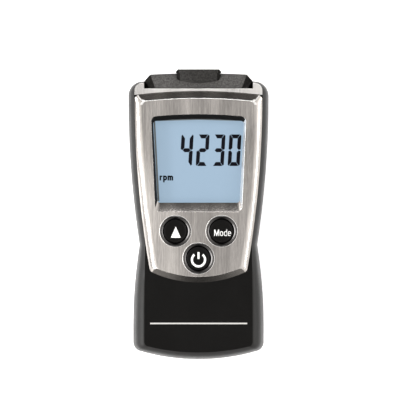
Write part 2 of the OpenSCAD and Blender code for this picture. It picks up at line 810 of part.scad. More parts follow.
// One unbroken wire wound along Y between a contact plate and the flat end of a cell
module battery_spring(side, y0) {
    wire_r = spring_wire_d / 2;
    turn_r = (spring_d - spring_wire_d) / 2;
    n = spring_turns * spring_steps;
    rise = spring_l - spring_wire_d;
    color("#c0c2c4")
    translate([side * cell_x, y0 + wire_r, z_cell])
        skin([for (k = [0:n]) let(a = -360 * k / spring_steps, y = rise * k / n)
            [for (i = [0:spring_sides - 1]) let(
                b = 360 * i / spring_sides, r = turn_r + wire_r * cos(b))
                [r * cos(a), y + wire_r * sin(b), r * sin(a)]]]);
}

module battery_spring_left() { battery_spring(-1, y_bay + tab_t); }
module battery_spring_right() { battery_spring(1, y_bay_top - tab_t - spring_l); }

// Sprung contact plate, with a pin up through the roof of the bay where it is soldered
module contact(side) {
    color("#c9cbc8")
    union() {
        translate([side * cell_x - tab_w / 2, y_bay, z_cell - tab_h / 2]) cube([tab_w, tab_t, tab_h]);
        translate([side * cell_x - pin_w / 2, y_bay, z_cell])
            cube([pin_w, tab_t, z_board_top + pin_out - z_cell]);
    }
}

module contact_minus() { contact(-1); }
module contact_plus() { contact(1); }

module contact_bridge() {
    color("#c9cbc8")
    slab(cell_x + tab_w / 2, y_bay_top - tab_t, y_bay_top, z_cell - tab_h / 2, z_cell + tab_h / 2);
}

module case_screws() {
    seat_z = screw_sunk + screw_head_h;
    color("#6e7074")
    for (place = screw_places)
        difference() {
            union() {
                upright(place, screw_head_d, screw_sunk, seat_z);
                upright(place, screw_d, screw_sunk, seat_z + screw_l);
            }
            for (turn = [0, 90])
                translate([place.x, place.y, screw_sunk]) rotate(turn)
                    translate([-screw_head_d * 0.35, -screw_slot_w / 2, -over])
                        cube([screw_head_d * 0.7, screw_slot_w, screw_slot_h + over]);
        }
}

front_shell();
rear_shell();
top_collar();
faceplate();
display_window();
lcd_glass();
lcd_frame();
backlight_panel();
contact_rubber();
main_board();
controller_chip();
key_up();
key_mode();
key_power();
key_ring_up();
key_ring_mode();
key_ring_power();
switch_up();
switch_mode();
switch_power();
plunger_up();
plunger_mode();
plunger_power();
sensor_head();
optics_barrel();
emitter_lens();
receiver_lens();
emitter_led();
receiver_diode();
battery_cover();
battery_left();
battery_right();
battery_spring_left();
battery_spring_right();
contact_bridge();
contact_minus();
contact_plus();
case_screws();
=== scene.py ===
# %% [markdown]
# # A pocket tachometer, dressed in Blender
# The solids of this hand-held speed meter come from the CAD source. This notebook gives them
# their looks: the moulded black shells, the brushed bright faceplate, the lit display, the keys
# in their dark bright rings, the sensor head, and what shows behind the sliding battery cover.
# Every piece stays in the frame of the solids, so nothing has to be fitted by eye.

# %% Load the solids
import json
import math

import bmesh
import bpy
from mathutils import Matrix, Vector

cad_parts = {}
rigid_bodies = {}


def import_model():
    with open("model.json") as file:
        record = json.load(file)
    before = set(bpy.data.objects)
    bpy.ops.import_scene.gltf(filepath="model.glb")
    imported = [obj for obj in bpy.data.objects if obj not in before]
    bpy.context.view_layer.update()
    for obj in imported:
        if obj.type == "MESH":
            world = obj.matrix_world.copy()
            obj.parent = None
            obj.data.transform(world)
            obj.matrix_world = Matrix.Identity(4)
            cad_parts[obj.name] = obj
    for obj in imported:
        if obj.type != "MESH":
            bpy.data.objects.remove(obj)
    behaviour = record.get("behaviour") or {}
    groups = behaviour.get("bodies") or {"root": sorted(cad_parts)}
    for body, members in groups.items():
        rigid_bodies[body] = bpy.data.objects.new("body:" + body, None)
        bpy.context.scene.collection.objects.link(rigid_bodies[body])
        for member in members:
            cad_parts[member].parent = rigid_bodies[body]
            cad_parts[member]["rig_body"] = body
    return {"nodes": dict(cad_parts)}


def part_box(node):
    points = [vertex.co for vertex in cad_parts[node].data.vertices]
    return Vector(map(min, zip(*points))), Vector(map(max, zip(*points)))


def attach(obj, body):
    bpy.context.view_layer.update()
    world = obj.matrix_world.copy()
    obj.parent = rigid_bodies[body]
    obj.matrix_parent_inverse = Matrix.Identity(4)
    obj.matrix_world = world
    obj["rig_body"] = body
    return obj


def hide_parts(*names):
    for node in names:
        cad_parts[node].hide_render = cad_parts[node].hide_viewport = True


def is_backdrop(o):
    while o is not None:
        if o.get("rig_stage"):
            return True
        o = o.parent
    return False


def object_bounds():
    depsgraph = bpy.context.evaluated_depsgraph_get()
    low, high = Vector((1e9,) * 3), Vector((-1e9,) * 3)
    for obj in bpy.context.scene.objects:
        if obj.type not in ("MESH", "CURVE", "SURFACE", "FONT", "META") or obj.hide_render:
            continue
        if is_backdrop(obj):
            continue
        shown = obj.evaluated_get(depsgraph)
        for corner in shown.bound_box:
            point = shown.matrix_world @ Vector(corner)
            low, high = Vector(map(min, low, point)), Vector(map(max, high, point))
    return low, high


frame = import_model()
cad_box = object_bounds()
MM = 0.001
print("solids:", len(frame["nodes"]), "size in mm:",
      [round(side / MM, 2) for side in cad_box[1] - cad_box[0]])

# %% [markdown]
# ## Shader maths as sums
# A finish is a small web of nodes. Linking Math nodes by hand hides the idea, so a socket is
# wrapped in a class with the usual operators: writing `1 - mask * 0.5` adds its Math nodes.
# All other nodes come from one method, which takes the type, its settings and its sockets.

# %% Sockets that can be added and multiplied
class Field:
    """One output socket in a finish."""

    def __init__(self, finish, socket):
        self.finish, self.socket = finish, socket

    def maths(self, operation, first, second=0.0):
        return self.finish.node("Math", {"operation": operation}, {0: first, 1: second})

    def __add__(self, other):
        return self.maths("ADD", self, other)

    def __radd__(self, other):
        return self.maths("ADD", other, self)

    def __sub__(self, other):
        return self.maths("SUBTRACT", self, other)

    def __rsub__(self, other):
        return self.maths("SUBTRACT", other, self)

    def __mul__(self, other):
        return self.maths("MULTIPLY", self, other)

    def __rmul__(self, other):
        return self.maths("MULTIPLY", other, self)

    def __gt__(self, other):
        return self.maths("GREATER_THAN", self, other)

    def __lt__(self, other):
        return self.maths("LESS_THAN", self, other)


class Finish:
    """A material or a world whose nodes are made by calls."""

    def __init__(self, owner, shader="BsdfPrincipled", output="OutputMaterial"):
        owner.use_nodes = True
        self.owner, self.tree = owner, owner.node_tree
        self.tree.nodes.clear()
        self.shader = self.tree.nodes.new("ShaderNode" + shader)
        self.output = self.tree.nodes.new("ShaderNode" + output)
        self.tree.links.new(self.shader.outputs[0], self.output.inputs["Surface"])

    def feed(self, node, sockets):
        for key, value in sockets.items():
            if isinstance(value, Field):
                self.tree.links.new(value.socket, node.inputs[key])
            else:
                node.inputs[key].default_value = value

    def node(self, kind, settings, sockets, out=0):
        made = self.tree.nodes.new("ShaderNode" + kind)
        for key, value in settings.items():
            setattr(made, key, value)
        self.feed(made, sockets)
        return Field(self, made.outputs[out])

    def place(self, scale=(1, 1, 1), centre=(0, 0, 0)):
        """The object's own coordinates, in units of the pattern."""
        where = self.node("TexCoord", {}, {}, out=3)
        shift = tuple(-c * s for c, s in zip(centre, scale))
        return self.node("Mapping", {}, {"Vector": where, "Location": shift, "Scale": scale})

    def noise(self, size, detail=2.0, roughness=0.5):
        """Cloudy noise whose grains have the given size in mm, along each axis."""
        sizes = size if isinstance(size, tuple) else (size,) * 3
        return self.node("TexNoise", {}, {
            "Vector": self.place(tuple(1 / (s * MM) for s in sizes)),
            "Scale": 1.0, "Detail": detail, "Roughness": roughness})

    def mix(self, share, first, second):
        """One colour into another by a share of 0 to 1."""
        return self.node("Mix", {"data_type": "RGBA"}, {
            "Factor": share, "A": first, "B": second}, out=2)

    def steep(self, value, low, high):
        """Stretches the part of a value between low and high to 0 to 1."""
        return self.node("MapRange", {}, {"Value": value, "From Min": low, "From Max": high})

    def bump(self, height, depth):
        """Relief of a depth in mm."""
        return self.node("Bump", {}, {"Height": height, "Distance": depth * MM, "Strength": 1.0})

    def set(self, **sockets):
        self.feed(self.shader, {k.replace("_", " "): v for k, v in sockets.items()})
        return self.owner

    def choose(self, share, other):
        """Puts another shader in the place of the first one, by a share of 0 to 1."""
        both = self.tree.nodes.new("ShaderNodeMixShader")
        self.tree.links.new(share.socket, both.inputs[0])
        self.tree.links.new(self.shader.outputs[0], both.inputs[1])
        self.tree.links.new(other.outputs[0], both.inputs[2])
        self.tree.links.new(both.outputs[0], self.output.inputs["Surface"])


def new_finish(name):
    return Finish(bpy.data.materials.new(name))


def grey(level, warm=1.0):
    """A grey, a little warmer than neutral where warm is above 1."""
    return (level * warm, level, level * (2 - warm), 1.0)


def scaled(colour, factor):
    """The same colour, lighter or darker, and nowhere above 1."""
    return (*(min(1.0, part * factor) for part in colour[:3]), 1.0)


print("one class for sockets, one for finishes")

# %% [markdown]
# ## Moulded plastics
# The shells are dark plastic out of a mould whose walls were spark eroded, so the skin has a
# fine even grain that breaks the highlights. One recipe serves all of them: fine noise gives the
# relief and the specks, and slow noise shifts the colour and the roughness a little, as handling
# does.

# %% Recipe for moulded plastic
def moulded(name, colour, speck, grain, depth, roughness, gloss=0.5):
    """A skin with specks in its grain, whose size and depth are in mm."""
    f = new_finish(name)
    fine = f.steep(f.noise(grain, 3.0, 0.6), 0.35, 0.65)
    slow = f.steep(f.noise(grain * 40, 2.0), 0.3, 0.7)
    skin = f.mix(fine, colour, speck)
    return f.set(
        Base_Color=f.mix(slow * 0.5, skin, scaled(colour, 1.25)),
        Roughness=roughness + 0.12 * fine - 0.08 * slow,
        Specular_IOR_Level=gloss,
        Normal=f.bump(fine, depth))


# The deck and the cheeks are darker and lighter copies of the front shell's one plastic: painted shade
# on the flat deck, painted light on the cheeks.
shaded_deck_plastic = moulded("shaded_deck_plastic", grey(0.002, 1.10), grey(0.004, 1.10), 0.22, 0.008, 0.38, 0.12)
lit_cheek_plastic = moulded("lit_cheek_plastic", grey(0.006, 1.06), grey(0.014, 1.06), 0.26, 0.015, 0.42, 0.36)
rear_plastic = moulded("rear_plastic", grey(0.010, 1.03), grey(0.022, 1.03), 0.30, 0.025, 0.42)
head_plastic = moulded("head_plastic", grey(0.020, 1.06), grey(0.125, 1.04), 0.46, 0.030, 0.55, 0.3)
barrel_plastic = moulded("barrel_plastic", grey(0.009, 1.08), grey(0.042, 1.06), 0.50, 0.030, 0.50, 0.2)
# A darker, duller copy for the ends of the head and the sides of the barrel, where shade falls: painted
# shade.
shaded_side_plastic = moulded("shaded_side_plastic", grey(0.006, 1.08), grey(0.022, 1.06), 0.46, 0.030, 0.62, 0.02)
key_plastic = moulded("key_plastic", grey(0.002, 1.10), grey(0.005, 1.10), 0.16, 0.004, 0.42, 0.09)
chip_plastic = moulded("chip_plastic", grey(0.016), grey(0.035), 0.10, 0.008, 0.50)
white_plastic = moulded("white_plastic", grey(0.62, 1.01), grey(0.74, 1.01), 0.40, 0.006, 0.45)
print("moulded plastics made")

# %% [markdown]
# ## Brushed metal
# The faceplate is brushed lengthwise. The streaks are noise drawn out along Y: dozens to the
# centimetre across, and from a few millimetres to a centimetre long. They reach the colour, the
# roughness and the relief, and a broad slow streak keeps the plate from looking printed.
#
# Two finishes also carry a faint form of the plate in their relief. It is too slight to need
# geometry, but bright metal shows it: the lower left falls away a little, and the slope below the
# display grows flatter towards the keys. The other metals serve the zones and pieces beside it.
# The zone metals are lighter and darker copies of the plate's own: painted highlight on the head's
# ridge and the recess's right wall, painted shade on the end slopes and the slope below the
# display. The very light metal of the beads round the rings is a painted highlight too.

# %% Recipe for brushed metal
STREAK_DEPTH, HAIR_DEPTH = 0.0036, 0.0024


def brushed(name, colour, roughness, streak=0.28, contrast=0.3, form=None):
    """Streaks of a width in mm, which shift the colour by a contrast, and a form under them."""
    f = new_finish(name)
    fine = f.steep(f.noise((streak, 12.0, streak), 3.0, 0.65), 0.3, 0.7)
    hair = f.steep(f.noise((streak * 0.4, 2.5, streak * 0.4), 2.0), 0.3, 0.7)
    broad = f.steep(f.noise((6.0, 30.0, 6.0), 1.0), 0.3, 0.7)
    tone = 0.36 * fine + 0.22 * hair + 0.42 * broad
    relief = STREAK_DEPTH * fine + HAIR_DEPTH * hair
    if form:
        relief = relief + form(f)
    return f.set(
        Base_Color=f.mix(tone, scaled(colour, 1 - contrast), scaled(colour, 1 + contrast)),
        Metallic=1.0, Roughness=roughness + 0.12 * (tone - 0.5), Normal=f.bump(relief, 1.0))


def along(f, axis):
    """One coordinate of the piece in mm."""
    return f.node("SeparateXYZ", {}, {"Vector": f.place((1 / MM,) * 3)}, out=axis)


def left_fall(f, fall_share=0.0058, full_y=6.0, none_y=22.0):
    """Relief in mm: the lower left of the plate falls away a little towards its edge."""
    x, y = along(f, 0), along(f, 1)
    left = x * (x < 0)
    return -fall_share * (left * left * f.steep(y, none_y, full_y))


def foot_roll(f, roll_share=0.022, from_y=3.1):
    """Relief in mm: the slope below the display rolls over and grows flatter towards the keys."""
    down = along(f, 1) - from_y
    return -roll_share * (down * down)


plate_metal = brushed("plate_metal", (0.55, 0.52, 0.495, 1.0), 0.20, streak=0.36, contrast=0.44,
                      form=left_fall)
# A darker copy of the plate's metal for the slope below the display: painted shade, with the roll in
# its relief.
shaded_foot_metal = brushed("shaded_foot_metal", (0.45, 0.425, 0.405, 1.0), 0.20, streak=0.36, contrast=0.44,
                     form=foot_roll)
# A darker copy of the plate's metal for the slopes at its two ends: painted shade.
shaded_slope_metal = brushed("shaded_slope_metal", (0.25, 0.235, 0.22, 1.0), 0.22, streak=0.36, contrast=0.35)
# A very light copy for the ridge at the head end: a painted highlight.
highlight_ridge_metal = brushed("highlight_ridge_metal", (0.97, 0.96, 0.94, 1.0), 0.30, contrast=0.03)
collar_metal = brushed("collar_metal", (0.84, 0.82, 0.80, 1.0), 0.30, contrast=0.12)
# A very light metal for the beads round the key rings: a painted highlight along the holes' edges.
highlight_bead_metal = brushed("highlight_bead_metal", (0.95, 0.94, 0.92, 1.0), 0.55, contrast=0.05)
# A very light copy for the right wall of the display recess and its roll: a painted highlight.
highlight_edge_metal = brushed("highlight_edge_metal", (0.97, 0.96, 0.95, 1.0), 0.42, contrast=0.03)
screw_metal = brushed("screw_metal", (0.30, 0.30, 0.31, 1.0), 0.34, streak=0.2, contrast=0.2)
spring_metal = brushed("spring_metal", (0.66, 0.66, 0.64, 1.0), 0.24, streak=0.15, contrast=0.1)


def dark_chrome(name):
    """Black chrome with a smear of polish."""
    f = new_finish(name)
    smear = f.noise(1.8, 3.0)
    return f.set(Base_Color=f.mix(smear, (0.060, 0.057, 0.056, 1), (0.090, 0.087, 0.086, 1)),
                 Metallic=1.0, Roughness=0.08 + 0.08 * smear,
                 Normal=f.bump(f.noise(0.5, 2.0), 0.0015))


ring_chrome = dark_chrome("ring_chrome")
print("metals made")

# %% [markdown]
# ## Display, window and print
# The lit display is a soft light blue with the faint weave of its polariser. The window over it
# is clear: it shows as a reflection only, stronger at a glancing angle, so its alpha grows with
# the angle of view. The digits are nearly black liquid crystal, the signs on the keys white ink.

# %% Finishes of the display and the print
def display_blue(name):
    f = new_finish(name)
    cloud = f.noise(14.0, 1.0)
    weave = f.noise((0.12, 0.12, 0.12), 1.0)
    colour = f.mix(cloud, (0.053, 0.083, 0.122, 1), (0.060, 0.090, 0.130, 1))
    glow = f.mix(cloud, (0.432, 0.602, 0.762, 1), (0.452, 0.624, 0.786, 1))
    return f.set(Base_Color=f.mix(0.06 * weave, colour, grey(0.75)),
                 Roughness=0.42 + 0.1 * weave,
                 Emission_Color=glow, Emission_Strength=0.58)


def ink(name, colour, roughness, gloss=0.3):
    """Print whose film is thinner in places, and which glows faintly so that it stays crisp."""
    f = new_finish(name)
    film = f.noise(0.25, 2.0)
    return f.set(Base_Color=f.mix(film, scaled(colour, 0.9), colour),
                 Roughness=roughness + 0.1 * film,
                 Specular_IOR_Level=gloss, Emission_Color=colour, Emission_Strength=0.14)


def clear_pane(name, tint, base_alpha):
    """A pane that shows little from straight above, and more at a glancing angle."""
    f = new_finish(name)
    facing = f.node("LayerWeight", {}, {"Blend": 0.5}, out=1)
    glance = facing * facing * facing
    haze = f.noise(2.5, 2.0)
    return f.set(Base_Color=tint, Roughness=0.03 + 0.03 * haze, IOR=1.49,
                 Alpha=base_alpha + 0.5 * glance)


display_glass = display_blue("display_glass")
digit_ink = ink("digit_ink", (0.004, 0.004, 0.007, 1.0), 0.5, gloss=0.05)
white_ink = ink("white_ink", (0.90, 0.90, 0.88, 1.0), 0.40)
line_ink = ink("line_ink", (0.55, 0.54, 0.52, 1.0), 0.45)
# Black paint for the roof and the left wall of the display recess: painted shade.
painted_shade_black = ink("painted_shade_black", (0.004, 0.004, 0.004, 1.0), 0.45, gloss=0.15)
# Grey print for the strip at the display's left edge: a painted shadow.
shadow_ink = ink("shadow_ink", (0.135, 0.145, 0.145, 1.0), 0.45)
window_clear = clear_pane("window_clear", (0.02, 0.022, 0.025, 1.0), 0.0)
lens_clear = clear_pane("lens_clear", (0.35, 0.38, 0.42, 1.0), 0.15)
print("display, window and print finishes made")

# %% [markdown]
# ## Finishes of the hidden pieces
# Most of these show only in a cut view or through the battery bay. They still get real finishes:
# resin for the two diodes, striped rubber under the display, a green board with its tracks, and
# the cells with a printed foil jacket between two bare metal ends.

# %% Finishes of what is inside
def resin(name, colour, tint):
    f = new_finish(name)
    depth = f.noise(1.2, 2.0)
    return f.set(Base_Color=f.mix(depth, colour, tint), Roughness=0.08 + 0.05 * depth,
                 Coat_Weight=0.6, Coat_Roughness=0.05)


def striped_rubber(name):
    f = new_finish(name)
    stripes = f.node("TexWave", {"bands_direction": "X"}, {
        "Vector": f.place((1 / (3.0 * MM),) * 3), "Scale": 2.0})
    return f.set(Base_Color=f.mix(stripes, grey(0.02), (0.30, 0.18, 0.10, 1)),
                 Roughness=0.75 - 0.1 * f.noise(0.3))


def solder_mask(name):
    f = new_finish(name)
    tracks = f.node("TexBrick", {"offset": 0.5, "squash": 1.0}, {
        "Vector": f.place((1 / (6.0 * MM),) * 3), "Scale": 2.2, "Mortar Size": 0.03,
        "Color1": (0, 0, 0, 1), "Color2": (0, 0, 0, 1), "Mortar": (1, 1, 1, 1)}, out=1)
    resist = f.mix(f.noise(3.0), (0.010, 0.115, 0.040, 1), (0.014, 0.150, 0.055, 1))
    return f.set(Base_Color=f.mix(tracks, resist, (0.04, 0.26, 0.09, 1)),
                 Roughness=0.30 + 0.1 * tracks, Coat_Weight=0.4,
                 Normal=f.bump(tracks, 0.03))


CELL_END, CELL_BAND = 1.8, 7.0


def cell_foil(name):
    """A dark jacket with a gold band at both ends, and bare metal beyond it."""
    f = new_finish(name)
    y = f.node("SeparateXYZ", {}, {"Vector": f.place((1 / MM,) * 3, (0, y_cell_mid * MM, 0))}, out=1)
    reach = y.maths("ABSOLUTE", y)
    jacket = reach < cell_jacket_half
    band = (reach > cell_jacket_half - CELL_BAND) * jacket
    scuff = f.noise((0.5, 4.0, 0.5), 2.0)
    foil = f.mix(band, (0.050, 0.070, 0.110, 1), (0.55, 0.40, 0.16, 1))
    return f.set(Base_Color=f.mix(jacket, grey(0.62), foil),
                 Metallic=1.0 - 0.35 * jacket, Roughness=0.28 + 0.12 * scuff,
                 Normal=f.bump(scuff, 0.004))


low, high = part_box("battery_left")
y_cell_mid = (low.y + high.y) / 2 / MM
cell_jacket_half = (high.y - low.y) / 2 / MM - CELL_END
cell_jacket = cell_foil("cell_jacket")
led_resin = resin("led_resin", grey(0.60), (0.72, 0.74, 0.70, 1))
diode_resin = resin("diode_resin", (0.012, 0.012, 0.020, 1), (0.03, 0.028, 0.045, 1))
contact_rubber = striped_rubber("contact_rubber")
board_green = solder_mask("board_green")
print("inner finishes made; a cell's jacket is", round(2 * cell_jacket_half, 1), "mm long")

# %% [markdown]
# ## Copies of the solids with soft edges
# A CAD node arrives as loose flat triangles. The node itself is left alone, and a copy stands
# for it. In the copy, doubled vertices are merged, flat areas become single faces, and the sharp
# edges get a small round, because a real moulding has none that is perfectly sharp, and it is
# this round that catches the light. Normals are then smooth except where an edge is truly sharp.

# %% Copying and rounding a solid
def merged_copy(node):
    bm = bmesh.new()
    bm.from_mesh(frame["nodes"][node].data)
    bmesh.ops.remove_doubles(bm, verts=bm.verts, dist=0.002 * MM)
    bmesh.ops.dissolve_limit(bm, angle_limit=math.radians(0.6), verts=[], edges=bm.edges)
    return bm


def soften(bm, width, degrees=30, segments=2, test=lambda edge: True):
    """Rounds the edges that turn by more than some degrees and pass the test."""
    chosen = [e for e in bm.edges if len(e.link_faces) == 2
              and e.calc_face_angle() > math.radians(degrees) and test(e)]
    bmesh.ops.bevel(bm, geom=chosen, offset=width * MM, segments=segments, affect="EDGES",
                    profile=0.5, material=-1, clamp_overlap=True)


def paint(bm, test, index=1):
    """Gives the faces that pass the test another finish of their piece."""
    chosen = [face for face in bm.faces if test(face)]
    for face in chosen:
        face.material_index = index
    return len(chosen)


def finished(bm, name, body, slot, *finishes, sharp=38):
    """Makes a bmesh a piece that rides a body, smooth up to an edge angle."""
    mesh = bpy.data.meshes.new(name)
    bm.to_mesh(mesh)
    bm.free()
    if "custom_normal" in mesh.attributes:
        mesh.attributes.remove(mesh.attributes["custom_normal"])
    for finish in finishes:
        mesh.materials.append(finish)
    mesh.shade_smooth()
    mesh.set_sharp_from_angle(angle=math.radians(sharp))
    piece = bpy.data.objects.new(name, mesh)
    bpy.context.scene.collection.objects.link(piece)
    modifier = piece.modifiers.new("even_normals", "WEIGHTED_NORMAL")
    modifier.keep_sharp = True
    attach(piece, body)
    return piece


def stand_in(node, name, slot, *finishes, round_width=0.0, second=None, **options):
    """A softened copy that replaces its node, on the same body."""
    bm = merged_copy(node)
    before, skin = len(bm.faces), sum(face.calc_area() for face in bm.faces)
    if round_width:
        soften(bm, round_width)
    after, softer = len(bm.faces), sum(face.calc_area() for face in bm.faces)
    if second:
        paint(bm, second)
    piece = finished(bm, name, frame["nodes"][node]["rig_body"], slot, *finishes, **options)
    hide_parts(node)
    print(f"{name}: {before} faces, {after} with rounds, skin {100 * softer / skin:.1f} percent")
    return piece


print("copying and rounding ready")

# %% [markdown]
# ## Shells, collar, head and screws
# The two shells keep the curves of their solids, and the other pieces get a small round on each
# edge. A piece can take a second finish on some of its faces, and here the second finishes paint
# light and shade. The flat deck of the front shell takes a blacker copy of its plastic than the
# cheeks beside it: painted shade on the deck, painted light on the cheeks. The ends of the head and
# the sides of the barrel take a darker, duller copy than their faces, as painted shade.

# %% Shells, collar, head and screws
def looks_sideways(face, steep=0.3):
    return abs(face.normal.x) > steep


def at_head_end(face, from_x=14.8):
    """The two chamfers of the head, each of which is two triangles with a fold between them."""
    return looks_sideways(face) or abs(face.calc_center_median().x) > from_x * MM


def looks_up(face, flat=0.97):
    return face.normal.z > flat


# The faces that look up take the darker copy, painted shade, and the rest the lighter one, painted
# light.
stand_in("front_shell", "front_moulding", "front_plastic", lit_cheek_plastic, shaded_deck_plastic,
         second=looks_up)
stand_in("rear_shell", "rear_moulding", "rear_plastic", rear_plastic)
stand_in("battery_cover", "cover_moulding", "rear_plastic", rear_plastic, round_width=0.12)
stand_in("top_collar", "collar_trim", "silver_trim", collar_metal, round_width=0.10, sharp=24)
# The head's ends and the barrel's sides take the darker, duller copy: painted shade.
stand_in("sensor_head", "head_moulding", "head_black", head_plastic, shaded_side_plastic,
         round_width=0.15, second=at_head_end)
stand_in("optics_barrel", "barrel_moulding", "barrel_black", barrel_plastic, shaded_side_plastic,
         round_width=0.10, second=looks_sideways)
stand_in("case_screws", "cross_screws", "screw_steel", screw_metal, round_width=0.06)

# %% [markdown]
# ## The faceplate
# The faceplate carries the look of the whole meter, so its copy gets more care. The edge round
# the display is rolled over widely, as on a pressed sheet. The ridges at its two ends are kept
# crisp with a narrow round, and the small edges at the holes get the smallest one.
#
# One piece can carry several finishes, each given to the faces that pass a test. The roof of the
# display recess and its left wall are painted black, as painted shade, and its right wall takes a
# very light metal, a painted highlight. The slopes at the two ends take a darker metal, painted
# shade, the ridge at the head end a very light one, a painted highlight, and the slope below the
# display a darker one, painted shade, with the roll in its relief.

# %% Faceplate
KEYS = ("up", "mode", "power")
window_low, window_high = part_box("display_window")
plate_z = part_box("faceplate")[1].z


def centre_of(node):
    low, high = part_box(node)
    return Vector(((low.x + high.x) / 2, (low.y + high.y) / 2, 0))


def on_top(edge, near=0.02):
    return all(abs(v.co.z - plate_z) < near * MM for v in edge.verts)


def round_display(edge, margin=4.5):
    middle = (edge.verts[0].co + edge.verts[1].co) / 2
    return (window_low.x - margin * MM < middle.x < window_high.x + margin * MM
            and window_low.y - margin * MM < middle.y < window_high.y + margin * MM)


def round_key(edge, reach=5.4):
    middle = (edge.verts[0].co + edge.verts[1].co) / 2
    return any((middle.xy - centre_of("key_" + key).xy).length < reach * MM for key in KEYS)


ROLL, CREST, HOLE_EDGE = 0.75, 0.22, 0.10
plate = merged_copy("faceplate")
soften(plate, ROLL, 15, 5, lambda e: on_top(e) and round_display(e))
soften(plate, CREST, 6, 3, lambda e: on_top(e) and not round_display(e) and not round_key(e))
soften(plate, HOLE_EDGE, 60, 2, lambda e: on_top(e) and round_key(e))
print("faceplate faces:", len(plate.faces))

# %% Zones of the faceplate
END_TILT = 0.42


def in_recess(face, steep_side=0.75, steep_roof=0.3, margin=1.0, roof_reach=2.5):
    middle = face.calc_center_median()
    roof = face.normal.y < -steep_roof and abs(middle.y - window_high.y) < roof_reach * MM
    side = (abs(face.normal.x) > steep_side and window_low.y < middle.y < window_high.y
            and window_low.x - margin * MM < middle.x < window_high.x + margin * MM)
    return roof or side


def on_right_wall(face, tilt=0.10, turn=0.3, inside=2.6, outside=1.6, below=1.0):
    middle = face.calc_center_median()
    return (face.normal.x < -tilt and abs(face.normal.y) < turn
            and window_high.x - inside * MM < middle.x < window_high.x + outside * MM
            and window_low.y - below * MM < middle.y < window_high.y)


def on_foot_slope(face, steep=0.25, below=0.5, reach=3.4):
    middle = face.calc_center_median()
    return (face.normal.y > steep and face.normal.z > steep and middle.z < plate_z
            and window_low.x < middle.x < window_high.x
            and window_low.y - below * MM < middle.y < window_low.y + reach * MM)


def on_end(face, margin=3.2):
    y = face.calc_center_median().y
    return not window_low.y - margin * MM < y < window_high.y + margin * MM


def on_end_slope(face, upward=0.5):
    return abs(face.normal.y) > END_TILT and face.normal.z > upward and on_end(face)


def on_head_ridge(face, tilt=0.05, turn=0.2, upward=0.8):
    return (tilt < face.normal.y <= END_TILT and abs(face.normal.x) < turn
            and face.normal.z > upward and on_end(face))


# The zones paint shade (black roof and left wall, darker end slopes and foot slope) and highlight
# (light right wall and head ridge).
zones = [(in_recess, painted_shade_black), (on_right_wall, highlight_edge_metal), (on_foot_slope, shaded_foot_metal),
         (on_end_slope, shaded_slope_metal), (on_head_ridge, highlight_ridge_metal)]
for index, (test, finish) in enumerate(zones, 1):
    count = paint(plate, test, index)
    print(f"{test.__name__}: {count} faces of {finish.name}")
brushed_plate = finished(plate, "brushed_plate", "housing", "silver_plate", plate_metal,
                         *(finish for test, finish in zones), sharp=24)
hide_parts("faceplate")

# %% [markdown]
# ## Nodes that keep their own shape
# Flat and boxy pieces, and what never shows, need no new mesh. They only get their finish, by
# giving the node's object a new material in its slot.

# %% Finishes for the nodes that stay
kept_nodes = {
    window_clear: ["display_window"],
    display_glass: ["lcd_glass"],
    white_plastic: ["lcd_frame", "backlight_panel", "plunger_up", "plunger_mode", "plunger_power"],
    contact_rubber: ["contact_rubber"],
    board_green: ["main_board"],
    chip_plastic: ["controller_chip", "switch_up", "switch_mode", "switch_power"],
    lens_clear: ["emitter_lens", "receiver_lens"],
    led_resin: ["emitter_led"],
    diode_resin: ["receiver_diode"],
    cell_jacket: ["battery_left", "battery_right"],
    spring_metal: ["battery_spring_left", "battery_spring_right", "contact_bridge",
                   "contact_minus", "contact_plus"],
}
for finish, names in kept_nodes.items():
    for name in names:
        node = frame["nodes"][name]
        node.data.materials.clear()
        node.data.materials.append(finish)
print("nodes kept with a new finish:", sum(len(names) for names in kept_nodes.values()))

# %% [markdown]
# ## Keys and their rings
# A key is a round black cap with a shallow dish, and its ring is dark and glossy: a rounded brow,
# then a steep throat down to the cap. A thin bead of very light metal lies in the seam between the
# ring and the plate, a painted highlight for the light that the edge of the plate's hole catches.
# All three are turned shapes, so a profile is drawn once as a chain of edges and spun a
# full turn about the key's axis.

# %% Turning a profile
def turned(profile, centre, steps=96):
    """Spins a chain of (radius, height) points, in mm, about an upright axis."""
    bm = bmesh.new()
    chain = [bm.verts.new((r * MM, 0, z * MM)) for r, z in profile]
    edges = [bm.edges.new(pair) for pair in zip(chain, chain[1:])]
    bmesh.ops.spin(bm, geom=chain + edges, cent=(0, 0, 0), axis=(0, 0, 1), angle=2 * math.pi,
                   steps=steps, use_merge=True)
    bmesh.ops.remove_doubles(bm, verts=bm.verts, dist=0.001 * MM)
    bmesh.ops.recalc_face_normals(bm, faces=bm.faces)
    bmesh.ops.translate(bm, verts=bm.verts, vec=centre)
    return bm


def rounded(corners, radius, steps=4):
    """A profile whose inner corners are rounded: the chain of points in mm."""
    chain = [corners[0]]
    for before, corner, after in zip(corners, corners[1:], corners[2:]):
        a, b, c = Vector(before), Vector(corner), Vector(after)
        into, out = (b - a), (c - b)
        turn = into.angle(out)
        reach = min(radius * math.tan(turn / 2), into.length * 0.45, out.length * 0.45)
        start, end = b - into.normalized() * reach, b + out.normalized() * reach
        for i in range(steps + 1):
            t = i / steps
            point = start.lerp(b, t).lerp(b.lerp(end, t), t)
            chain.append((point.x, point.y))
    chain.append(corners[-1])
    return chain


print("turning and rounding ready")

